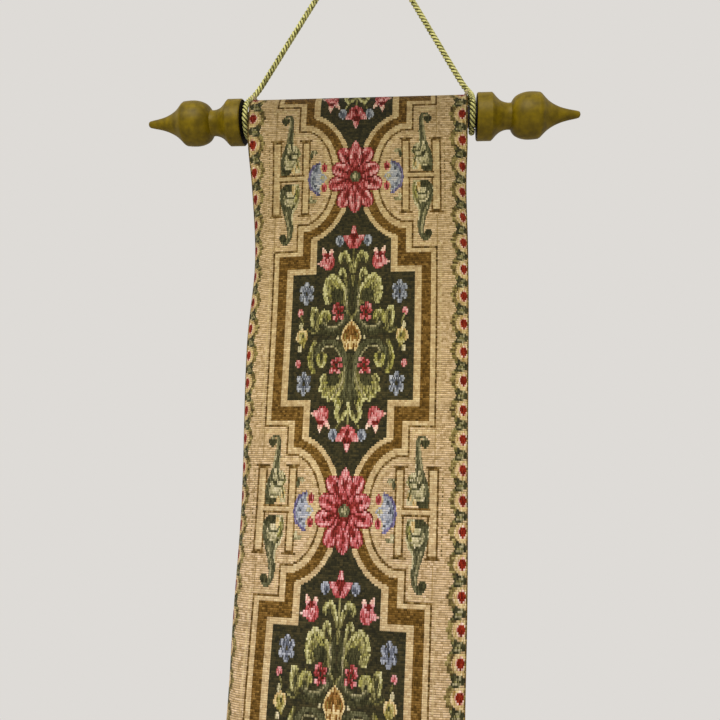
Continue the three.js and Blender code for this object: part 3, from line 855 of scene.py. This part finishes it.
goes_long = np.array([way == "long" for _, _, way in YARNS.values()])[stitch_yarn]
level = np.where(goes_long, long_run, tall) * 0.7 + single[rib_of, end_of] * 0.3
level = np.clip((level - 0.5) * 1.25 + 0.5, 0, 0.999)
picked = ladder[stitch_yarn, (level * RUNGS).astype(int)]
# Every rib and every end also has a lightness of its own.
rib_light = draw.normal(1.0, 0.05, ribs_in_all)[rib_of]
end_light = draw.normal(1.0, 0.04, ALL_ENDS)[end_of]
picked = picked * (rib_light * end_light)[..., None]
# Painted shade: every colour is dimmed towards the rod, blue most, so the cloth is darker and a little
# yellower there.
PAINTED_SHADE_AT = (0, 20, 70, 160, 230)  # millimetres below the rod's axis
PAINTED_SHADE = ((0.52, 0.70, 0.81, 1.0, 1.04), (0.52, 0.70, 0.81, 1.0, 1.04), (0.49, 0.66, 0.77, 1.0, 1.14))
below_rod = ROSE + (rib_of + rib.min()) * RIB
for lane in range(3):  # red, green and blue
    picked[..., lane] *= np.interp(below_rod, PAINTED_SHADE_AT, PAINTED_SHADE[lane])
depth = np.array([deep for _, deep, _ in YARNS.values()])[stitch_yarn]
depth = np.clip(depth * (0.7 + 0.6 * long_run), 0.2, 1.0)
for k in range(PER_FACE):
    kept = band.data.attributes.new("stitch_%d" % (k + 1), "FLOAT_COLOR", "FACE")
    kept.data.foreach_set("color", np.c_[picked[:, k], depth[:, k]].ravel())
print("stitches coloured:", stitch_yarn.size)

# %% Thickness: the same cloth, solid
thicken = band.modifiers.new("thickness", "SOLIDIFY")
thicken.thickness = THICK * MM
thicken.offset = 0
thicken.material_offset = 1
thicken.material_offset_rim = 2
bpy.context.view_layer.objects.active = band
band.select_set(True)
print("cloth %.1f mm thick" % THICK)


# %% [markdown]
# ## The cloth's finish
# Tapestry weave is weft-faced: the wool weft is beaten down over a hidden warp, so the face is rows
# of fine ribs with a dark groove between them, matt, with a soft edge of loose fibre. The groove is
# drawn darker as well as bumped, because it is real shade between threads a tenth of a millimetre
# deep, finer than the mesh.

# %% Picking a stitch, shared by the face and the reverse of the cloth
def woven_colour(material):
    """Nodes that give the stitch's colour, its groove's depth, and the place on the threads."""
    place = node(material, "UVMap", uv_map="threads")
    split = node(material, "SeparateXYZ", {0: place.outputs[0]})
    in_face = node(material, "Math", {0: split.outputs[0], 1: float(PER_FACE)},
                   operation="FLOORED_MODULO")
    tint, deep = None, None
    for k in range(PER_FACE):
        stitch = node(material, "Attribute", attribute_name="stitch_%d" % (k + 1))
        if tint is None:
            tint, deep = stitch.outputs["Color"], stitch.outputs["Alpha"]
            continue
        past = node(material, "Math", {0: in_face.outputs[0], 1: float(k)}, operation="GREATER_THAN")
        tint = node(material, "Mix", {0: past.outputs[0], 6: tint, 7: stitch.outputs["Color"]},
                    data_type="RGBA").outputs[2]
        deep = node(material, "Mix", {0: past.outputs[0], 2: deep, 3: stitch.outputs["Alpha"]},
                    data_type="FLOAT").outputs[0]
    return tint, deep, split.outputs[0], split.outputs[1]


print("each face holds", PER_FACE, "stitches")

# %% The face: ribs, grooves and wool
tapestry, shader = new_material("weft_faced_wool_tapestry", roughness=0.9, specular=0.1)
tint, deep, end, ribs = woven_colour(tapestry)
skew = node(tapestry, "Math", {0: end, 1: 0.5}, operation="PINGPONG")
shift = node(tapestry, "Math", {0: skew.outputs[0], 1: 0.5, 2: ribs}, operation="MULTIPLY_ADD")
part = node(tapestry, "Math", {0: shift.outputs[0]}, operation="FRACT")
centred = node(tapestry, "Math", {0: part.outputs[0], 1: 0.5}, operation="SUBTRACT")
twice = node(tapestry, "Math", {0: centred.outputs[0], 1: 2.0}, operation="MULTIPLY")
edge = node(tapestry, "Math", {0: twice.outputs[0], 1: twice.outputs[0]}, operation="MULTIPLY")
crest = node(tapestry, "Math", {0: 0.333, 1: edge.outputs[0]}, operation="SUBTRACT")
light = node(tapestry, "Math", {0: crest.outputs[0], 1: deep, 2: 1.0}, operation="MULTIPLY_ADD")
place = node(tapestry, "TexCoord")
# Wear comes and goes over about 40 mm. The fuzz below it is 0.7 mm, coarser than real wool.
worn = node(tapestry, "TexNoise", {"Vector": place.outputs["Object"], "Scale": 26.0, "Detail": 3.0})
fade = node(tapestry, "MapRange", {"Value": worn.outputs[0], "From Min": 0.3, "From Max": 0.7,
                                   "To Min": 0.93, "To Max": 1.07})
fade_all = node(tapestry, "Math", {0: light.outputs[0], 1: fade.outputs[0]}, operation="MULTIPLY")
shaded = node(tapestry, "VectorMath", {0: tint, "Scale": fade_all.outputs[0]}, operation="SCALE")
wire(tapestry, shaded.outputs[0], shader.inputs["Base Color"])
fuzz = node(tapestry, "TexNoise", {"Vector": place.outputs["Object"], "Scale": 1500.0})
relief = node(tapestry, "Math", {0: fuzz.outputs[0], 1: 0.4, 2: light.outputs[0]},
              operation="MULTIPLY_ADD")
lift = node(tapestry, "Bump", {"Height": relief.outputs[0], "Strength": 0.7, "Distance": 0.00025})
wire(tapestry, lift.outputs[0], shader.inputs["Normal"])
shader.inputs["Sheen Weight"].default_value = 0.03
print("face material nodes:", len(tapestry.node_tree.nodes))

# %% The reverse: yarns that aren't on the face float behind it in stripes
reverse, shader = new_material("tapestry_reverse_floats", roughness=0.92, specular=0.2)
tint, deep, end, ribs = woven_colour(reverse)
stripe = node(reverse, "Math", {0: end, 1: 26.0}, operation="FLOORED_MODULO")
bands_of = node(reverse, "Math", {0: stripe.outputs[0], 1: 26.0}, operation="DIVIDE")
floats = node(reverse, "ValToRGB", {"Fac": bands_of.outputs[0]},
              stops=((0.0, "#7c6a45"), (0.3, "#3f3c28"), (0.42, "#8f7c55"), (0.6, "#77433a"),
                     (0.7, "#a08a60"), (0.86, "#5d6040")))
floats.color_ramp.interpolation = "CONSTANT"
broken = node(reverse, "CombineXYZ", {0: end, 1: ribs})
speck = node(reverse, "TexNoise", {"Vector": broken.outputs[0], "Scale": 0.9})
half = node(reverse, "Mix", {0: 0.35, 6: floats.outputs[0], 7: tint}, data_type="RGBA")
part = node(reverse, "Math", {0: ribs}, operation="FRACT")
level = node(reverse, "MapRange", {"Value": speck.outputs[0], "From Min": 0.35, "From Max": 0.65,
                                   "To Min": 0.6, "To Max": 1.25})
# Each rib is drawn darker towards its grooves: a painted shade.
wave = node(reverse, "Math", {0: part.outputs[0], 1: 0.5}, operation="PINGPONG")
ridge = node(reverse, "MapRange", {"Value": wave.outputs[0], "From Max": 0.5, "To Min": 0.7,
                                   "To Max": 1.0})
both = node(reverse, "Math", {0: level.outputs[0], 1: ridge.outputs[0]}, operation="MULTIPLY")
shaded = node(reverse, "VectorMath", {0: half.outputs[2], "Scale": both.outputs[0]},
              operation="SCALE")
wire(reverse, shaded.outputs[0], shader.inputs["Base Color"])
lift = node(reverse, "Bump", {"Height": both.outputs[0], "Strength": 0.6, "Distance": 0.0003})
wire(reverse, lift.outputs[0], shader.inputs["Normal"])
print("reverse material nodes:", len(reverse.node_tree.nodes))

# %% The selvedge: weft turning round the last warp ends
selvedge, shader = new_material("wool_selvedge", roughness=0.9)
place = node(selvedge, "TexCoord")
# A turn of weft is as wide as a rib or a little wider, 1.4 mm.
turns = node(selvedge, "TexNoise", {"Vector": place.outputs["Object"], "Scale": 700.0})
ramp = node(selvedge, "ValToRGB", {"Fac": turns.outputs[0]},
            stops=((0.35, "#5a3a26"), (0.65, "#a88a5c")))
wire(selvedge, ramp.outputs[0], shader.inputs["Base Color"])
lift = node(selvedge, "Bump", {"Height": turns.outputs[0], "Strength": 0.6, "Distance": 0.0002})
wire(selvedge, lift.outputs[0], shader.inputs["Normal"])
for finish in (tapestry, reverse, selvedge):
    band.data.materials.append(finish)
print("cloth materials:", [m.name for m in band.data.materials])

# %% [markdown]
# ## Making the thickness real, and room in the picture for each side
# The thickness is applied here, because the face and the reverse need different places in the
# map that the part is baked with. The face is cut into three strips laid side by side over most
# of it, and the reverse and the edges take what is left.

# %% Apply the thickness and lay out the map
bpy.ops.object.modifier_apply(modifier="thickness")
mesh = band.data
mesh.set_sharp_from_angle(angle=math.radians(50))
kind = np.zeros(len(mesh.polygons), int)
mesh.polygons.foreach_get("material_index", kind)
sizes = np.zeros(len(mesh.polygons), int)
mesh.polygons.foreach_get("loop_total", sizes)
loops = np.zeros(len(mesh.loops) * 2)
mesh.uv_layers["threads"].data.foreach_get("uv", loops)
loops = loops.reshape(-1, 2)
kind_of = np.repeat(kind, sizes)
face_of = np.repeat(np.arange(len(mesh.polygons)), sizes)
lowest = np.full(len(mesh.polygons), 1e9)
np.minimum.at(lowest, face_of, loops[:, 1])
top, foot = loops[:, 1].min(), loops[:, 1].max()
third = (foot - top) / 3 + 0.01
strip = np.clip(np.floor((lowest[face_of] - top) / third), 0, 2)
u, v = loops[:, 0] / ALL_ENDS, (loops[:, 1] - top - strip * third) / third
FACE, REVERSE, EDGES = 0, 1, 2  # the kinds, in the order of the cloth's materials
lay = np.where(kind_of == FACE, 0.003 + strip * 0.300 + u * 0.294, 0.0)
lay = np.where(kind_of == REVERSE, 0.906 + u * 0.074, lay)
lay = np.where(kind_of == EDGES, 0.986 + 0.01 * u, lay)
rise = np.where(kind_of == FACE, v, (loops[:, 1] - top) / (foot - top))
made_map = mesh.uv_layers.new(name="OFBake")
made_map.data.foreach_set("uv", np.stack([lay, 0.003 + 0.994 * (1 - rise)], axis=1).ravel())
print("cloth faces:", len(mesh.polygons), "of kinds", np.bincount(kind))

# %% [markdown]
# ## The rod and its finials
# All three are turned on a lathe, so each is a profile spun round the rod's axis. A finial has a
# collar, a cove, a ball with a sharp shoulder and a hollow taper to a small round tip.


# %% Spinning a profile round the rod's axis
def turned(name, profile, side_sign, start_x, steps, finish):
    """profile is in pairs of radius and distance along the axis, in millimetres."""
    made = bmesh.new()
    points = [made.verts.new((side_sign * (start_x + along) * MM, 0, (ROD_Z + radius) * MM))
              for radius, along in profile]
    for a, b in zip(points, points[1:]):
        made.edges.new((a, b))
    bmesh.ops.spin(made, geom=made.verts[:] + made.edges[:], cent=(0, 0, ROD_Z * MM),
                   axis=(1, 0, 0), angle=2 * math.pi, steps=steps, use_merge=True)
    bmesh.ops.remove_doubles(made, verts=made.verts, dist=1e-6)
    bmesh.ops.recalc_face_normals(made, faces=made.faces)
    obj = piece(name, made, [finish])
    obj.data.set_sharp_from_angle(angle=math.radians(32))
    print(name, "faces:", len(obj.data.polygons))
    return obj


def eased(knots, spacing=0.35):
    """A smooth profile through the knots, for the coves and the ball."""
    line = smooth_line([(r, a, 0.0) for r, a in knots], spacing)
    return [(max(r, 0.0), a) for r, a, _ in line]


# %% The rod: dark stained beech, matt, with the grain along it
stain, shader = new_material("dark_stained_beech", roughness=0.6)
place = node(stain, "TexCoord")
# Grain lines are about 1.4 mm wide and 30 mm long.
stretch = node(stain, "Mapping", {"Vector": place.outputs["Object"], "Scale": (30.0, 700.0, 700.0)})
grain = node(stain, "TexNoise", {"Vector": stretch.outputs[0], "Scale": 1.0, "Detail": 4.0})
ramp = node(stain, "ValToRGB", {"Fac": grain.outputs[0]},
            stops=((0.35, "#140e08"), (0.7, "#2b1d10")))
wire(stain, ramp.outputs[0], shader.inputs["Base Color"])
lift = node(stain, "Bump", {"Height": grain.outputs[0], "Strength": 0.3, "Distance": 0.0002})
wire(stain, lift.outputs[0], shader.inputs["Normal"])
rod_profile = [(0, -65.2), (5.7, -65.2), (5.7, -59.6), (9.5, -59.6), (10.1, -59.0),
               (10.1, 59.0), (9.5, 59.6), (5.7, 59.6), (5.7, 65.2), (0, 65.2)]
rod = turned("turned_rod", rod_profile, 1, 0, 64, stain)

# %% The finials' finish: old gold-green paint, dull, darker where it has gathered
paint, shader = new_material("old_gold_paint", roughness=0.45, specular=0.15)
place = node(paint, "TexCoord")
# Brush rings are about 3 mm wide, and the clouds of gathered paint 4 mm.
rings = node(paint, "Mapping", {"Vector": place.outputs["Object"], "Scale": (300.0, 14.0, 14.0)})
marks = node(paint, "TexNoise", {"Vector": rings.outputs[0], "Scale": 1.0})
cloud = node(paint, "TexNoise", {"Vector": place.outputs["Object"], "Scale": 240.0, "Detail": 6.0})
both = node(paint, "Math", {0: marks.outputs[0], 1: 0.4, 2: cloud.outputs[0]},
            operation="MULTIPLY_ADD")
ramp = node(paint, "ValToRGB", {"Fac": both.outputs[0]},
            stops=((0.5, "#584802"), (0.92, "#7c6704")))
wire(paint, ramp.outputs[0], shader.inputs["Base Color"])
lift = node(paint, "Bump", {"Height": both.outputs[0], "Strength": 0.3, "Distance": 0.0002})
wire(paint, lift.outputs[0], shader.inputs["Normal"])
print("paint nodes:", len(paint.node_tree.nodes))

# %% The finials' inner faces: bare end grain, drawn nearly black
bare, shader = new_material("near_black_end_grain", roughness=0.8, specular=0.1)
place = node(bare, "TexCoord")
# Pores are drawn about 1 mm across, coarser than real ones.
pores = node(bare, "TexNoise", {"Vector": place.outputs["Object"], "Scale": 900.0})
ramp = node(bare, "ValToRGB", {"Fac": pores.outputs[0]},
            stops=((0.0, "#0c0905"), (1.0, "#1e160d")))
wire(bare, ramp.outputs[0], shader.inputs["Base Color"])
print("end grain nodes:", len(bare.node_tree.nodes))

# %% Two finials
INNER_FACE = 65.5  # where a finial starts, in millimetres from the rod's middle
COLLAR = [(0, 0), (12.4, 0), (12.9, 0.5), (12.9, 8.0), (12.2, 8.8)]
COVE = [(12.2, 8.8), (10.2, 10.6), (8.5, 12.6), (7.5, 14.8), (7.1, 17.0), (7.2, 18.6)]
BALL = [(7.2, 18.6), (8.8, 19.4), (10.5, 21.0), (11.8, 23.6), (12.5, 26.6), (12.6, 30.0),
        (12.3, 33.6)]
TAPER = [(12.3, 33.6), (11.6, 34.7), (9.6, 36.6), (7.6, 38.8), (5.8, 41.6), (4.1, 45.4),
         (2.9, 49.8), (2.1, 53.8), (1.5, 55.5), (0, 56.1)]
finial_profile = COLLAR[:-1]
for stretch_of in (COVE, BALL, TAPER):
    finial_profile += eased(stretch_of, 0.7)[:-1]
finial_profile += [(0, 56.1)]
finials = [turned("finial_turned_" + name, finial_profile, sign, INNER_FACE, 96, paint)
           for name, sign in (("left", -1), ("right", 1))]
for finial in finials:
    finial.data.materials.append(bare)
    for face in finial.data.polygons:
        if abs(face.center.x) < (INNER_FACE + 0.02) * MM:
            face.material_index = 1

# %% [markdown]
# ## The sewing
# The casing and the hem are held by a line of small hand stitches on the back, and the cord's ends
# by a few turns of thread. Each stitch is one thin strand along a short curve, with flat ends.

# %% The sewing thread's finish: waxed linen, pale and nearly matt, with its twist in 0.4 mm marks
linen, shader = new_material("waxed_linen_thread", roughness=0.7)
place = node(linen, "TexCoord")
twist = node(linen, "TexNoise", {"Vector": place.outputs["Object"], "Scale": 2500.0})
ramp = node(linen, "ValToRGB", {"Fac": twist.outputs[0]},
            stops=((0.0, "#8f7f58"), (1.0, "#cfc09a")))
wire(linen, ramp.outputs[0], shader.inputs["Base Color"])
print("thread nodes:", len(linen.node_tree.nodes))


# %% Rows of slip stitches along the casing and the hem
def stitch_row(name, below, rise):
    """Small slanted stitches on the back layer's free edge, from below upwards or downwards."""
    made = bmesh.new()
    for x in np.linspace(-54, 54, 25):
        ends = on_band([x - 1.1, x + 1.1], [LAYER + 0.9, 0.85], [below, below + rise])
        a, b = Vector(ends[0]), Vector(ends[1])
        knots = [a + Vector((0, -0.5, 0)), a + Vector((0, 0.15, 0)), (a + b) / 2 + Vector((0, 0.45, 0)),
                 b + Vector((0, 0.15, 0)), b + Vector((0, -0.4, 0))]
        add_strand(made, smooth_line(knots, 0.5), 0.22, 0)
    bmesh.ops.recalc_face_normals(made, faces=made.faces)
    return piece(name, made, [linen])


casing_stitches = stitch_row("casing_stitches", TAIL - 0.8, 1.8)
hem_stitches = stitch_row("hem_stitches", DROP - HEM + 0.8, -1.8)
print("stitches:", len(casing_stitches.data.polygons), "faces")


# %% Whipping: thread wound round the cord's end and the rising run beside it
PAIR_OUT, PAIR_BACK, HALF_GAP = 61.0, 1.55, 2.6  # the two cords' middle, and half the way between
WHIP_TURNS, WHIP_STEP, WHIP_FROM = 5, 0.46, 12.6  # each turn's rise, and its start above the axis
WHIP_THREAD = 0.24  # the thread's radius


def wound(name, side_sign):
    grip = CORD_DIAMETER / 2 + WHIP_THREAD - 0.02  # it bites a little into the cord
    a = np.linspace(0, WHIP_TURNS * 2 * math.pi, WHIP_TURNS * 28 + 1)
    x = side_sign * PAIR_OUT + grip * np.cos(a)
    y = PAIR_BACK + (HALF_GAP + grip) * np.sin(a)
    z = ROD_Z + WHIP_FROM + WHIP_STEP * a / (2 * math.pi)
    made = bmesh.new()
    add_strand(made, np.stack([x, y, z], axis=1), WHIP_THREAD, 1)
    bmesh.ops.recalc_face_normals(made, faces=made.faces)
    return piece(name, made, [linen])


whippings = [wound("whipping_left", -1), wound("whipping_right", 1)]
print("whippings:", [len(w.data.polygons) for w in whippings])

# %% [markdown]
# ## Joining the frame
# Every piece rides on the one body and replaces the solid that it stands for.

# %% Riding and replacing
for made in (cord, band, rod, *finials, casing_stitches, hem_stitches, *whippings):
    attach(made, "root")
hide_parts("hanging_cord")
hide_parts("tapestry_band")
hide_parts("hanging_rod")
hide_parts("finial_left")
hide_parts("finial_right")
print("declared %.0f mm of cord and %.0f x %.0f mm of cloth" % (cord_length, WIDTH, cloth_run[-1]))

# %% [markdown]
# ## Floor and light
# A pale floor just below the hem, a pale even surround, and one large soft lamp above and in
# front, so that the tops of the finials catch a soft highlight and their undersides turn dark.

# %% The floor
ground = bmesh.new()
bmesh.ops.create_grid(ground, x_segments=1, y_segments=1, size=1.5)
FLOOR_GAP = 60  # millimetres below the hem
bmesh.ops.translate(ground, verts=ground.verts, vec=(0, 0, (ROD_Z - DROP - FLOOR_GAP) * MM))
plaster, shader = new_material("pale_floor", roughness=0.9)
place = node(plaster, "TexCoord")
mottle = node(plaster, "TexNoise", {"Vector": place.outputs["Object"], "Scale": 30.0})
ramp = node(plaster, "ValToRGB", {"Fac": mottle.outputs[0]},
            stops=((0.0, "#dcd9d5"), (1.0, "#e2dfdb")))
wire(plaster, ramp.outputs[0], shader.inputs["Base Color"])
floor = piece("pale_floor", ground, [plaster])
print("floor %d mm below the hem" % FLOOR_GAP)

# %% The surround and the lamp
scene = bpy.context.scene
scene.world = bpy.data.worlds.new("soft_surround")
scene.world.use_nodes = True
sky = scene.world.node_tree.nodes["Background"]
seen = node(scene.world, "LightPath")
way_out = node(scene.world, "TexCoord")
height_of = node(scene.world, "SeparateXYZ", {0: way_out.outputs["Generated"]})
round_about = node(scene.world, "MapRange", {"Value": height_of.outputs[2], "From Min": -0.8,
                                             "From Max": 0.6, "To Min": 0.2, "To Max": 0.9})
power = node(scene.world, "Mix", {0: seen.outputs["Is Camera Ray"], 2: round_about.outputs[0], 3: 1.0},
             data_type="FLOAT")
sky.inputs["Color"].default_value = colour("#dedbd7")
wire(scene.world, power.outputs[0], sky.inputs["Strength"])
lamp = bpy.data.objects.new("soft_lamp", bpy.data.lights.new("soft_lamp", "AREA"))
scene.collection.objects.link(lamp)
lamp.data.shape, lamp.data.size, lamp.data.energy = "DISK", 1.0, 15.5
lamp.location = (-0.15, -1.15, 0.45)
aim = Vector((0, 0, -0.3)) - lamp.location
lamp.rotation_euler = aim.to_track_quat("-Z", "Y").to_euler()
scene.view_settings.view_transform = "Standard"
print("lamp %.2f m away" % aim.length)
